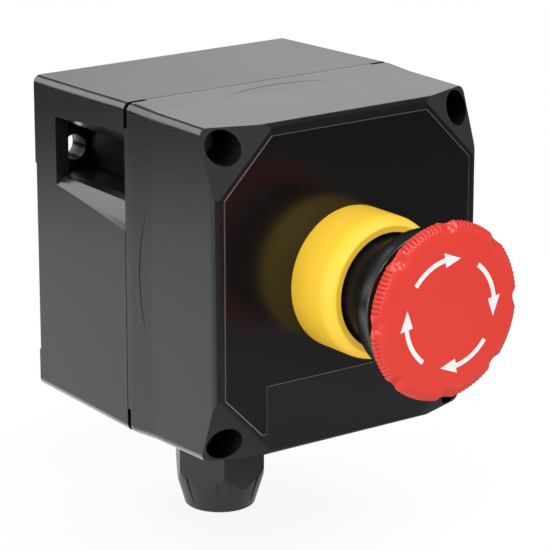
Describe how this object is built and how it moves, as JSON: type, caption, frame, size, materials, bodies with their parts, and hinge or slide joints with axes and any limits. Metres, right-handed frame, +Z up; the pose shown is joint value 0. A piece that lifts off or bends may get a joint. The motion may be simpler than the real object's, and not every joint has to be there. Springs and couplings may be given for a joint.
{
  "type": "emergency stop station",
  "caption": "Black moulded wall box with a red twist-release mushroom button in a yellow collar, contact blocks inside and a cable gland below.",
  "frame": {"origin": "centre of the back plane that rests on the wall, on the button's axis", "axes": "+X to the right seen from the front, +Y into the wall, +Z up; the button points along -Y"},
  "size_m": [0.075, 0.1083, 0.1076],
  "materials": {
    "housing_black": "satin moulded, fine grain",
    "plate_black": "satin",
    "seal_rubber": "matt",
    "screw_steel": "zinc plated",
    "spring_steel": "bright drawn wire",
    "insert_brass": "turned",
    "collar_yellow": "semi-gloss moulded",
    "cap_red": "satin moulded",
    "neck_black": "semi-gloss moulded",
    "nylon_grey": "satin moulded",
    "nylon_natural": "satin moulded",
    "contact_brass": "stamped",
    "gland_black": "satin moulded"
  },
  "bodies": {
    "housing": {"base_housing": "housing_black", "cover": "housing_black", "cover_gasket": "seal_rubber", "cover_screws": "screw_steel", "thread_inserts": "insert_brass", "front_plate": "plate_black", "collar": "collar_yellow", "collar_seal": "seal_rubber", "bushing": "nylon_grey", "stem_seal": "seal_rubber", "panel_washer": "screw_steel", "panel_nut": "nylon_grey", "return_spring": "spring_steel", "contact_carrier": "nylon_grey", "carrier_screws": "screw_steel", "gland_body": "gland_black", "gland_seal": "seal_rubber", "gland_locknut": "gland_black", "gland_insert": "seal_rubber", "gland_nut": "gland_black", "contact_housing_left": "nylon_grey", "contact_lid_left": "nylon_grey", "contact_spring_left": "spring_steel", "fixed_contacts_left": "contact_brass", "terminal_clamps_left": "screw_steel", "terminal_screws_left": "screw_steel", "contact_housing_right": "nylon_grey", "contact_lid_right": "nylon_grey", "contact_spring_right": "spring_steel", "fixed_contacts_right": "contact_brass", "terminal_clamps_right": "screw_steel", "terminal_screws_right": "screw_steel"},
    "push_stem": {"stem": "nylon_grey", "pusher_plate": "nylon_grey", "latch_springs": "spring_steel"},
    "knob": {"mushroom_cap": "cap_red", "cap_skirt": "neck_black", "cam_shaft": "nylon_natural", "cam_clip": "spring_steel"},
    "latch_left": {"latch_bar_left": "screw_steel"},
    "latch_right": {"latch_bar_right": "screw_steel"},
    "contact_left": {"contact_plunger_left": "nylon_natural", "contact_bridge_left": "contact_brass"},
    "contact_right": {"contact_plunger_right": "nylon_natural", "contact_bridge_right": "contact_brass"}
  },
  "joints": [
    {"name": "button_press", "type": "slide", "parent": "housing", "child": "push_stem", "axis": [0, 1, 0], "range_m": [0, 0.005], "stiffness_N_per_m": 4000, "springref_m": -0.003, "deforming": ["return_spring"]},
    {"name": "knob_twist", "type": "hinge", "parent": "push_stem", "child": "knob", "pos_m": [0, -0.09, 0], "axis": [0, 1, 0], "range_deg": [0, 45], "stiffness_Nm_per_rad": 0.25, "springref_deg": -11.46},
    {"name": "latch_left_slide", "type": "slide", "parent": "push_stem", "child": "latch_left", "axis": [1, 0, 0], "range_m": [0, 0.0007], "deforming": ["latch_springs"]},
    {"name": "latch_right_slide", "type": "slide", "parent": "push_stem", "child": "latch_right", "axis": [-1, 0, 0], "range_m": [0, 0.0007], "deforming": ["latch_springs"]},
    {"name": "contact_left_slide", "type": "slide", "parent": "housing", "child": "contact_left", "axis": [0, 1, 0], "range_m": [0, 0.005], "deforming": ["contact_spring_left"]},
    {"name": "contact_right_slide", "type": "slide", "parent": "housing", "child": "contact_right", "axis": [0, 1, 0], "range_m": [0, 0.005], "deforming": ["contact_spring_right"]}
  ],
  "couplings": [
    {"joint": "latch_left_slide", "follows": "knob_twist", "m_per_rad": 0.00089127},
    {"joint": "latch_right_slide", "follows": "knob_twist", "m_per_rad": 0.00089127},
    {"joint": "contact_left_slide", "follows": "button_press", "ratio": 1},
    {"joint": "contact_right_slide", "follows": "button_press", "ratio": 1}
  ]
}
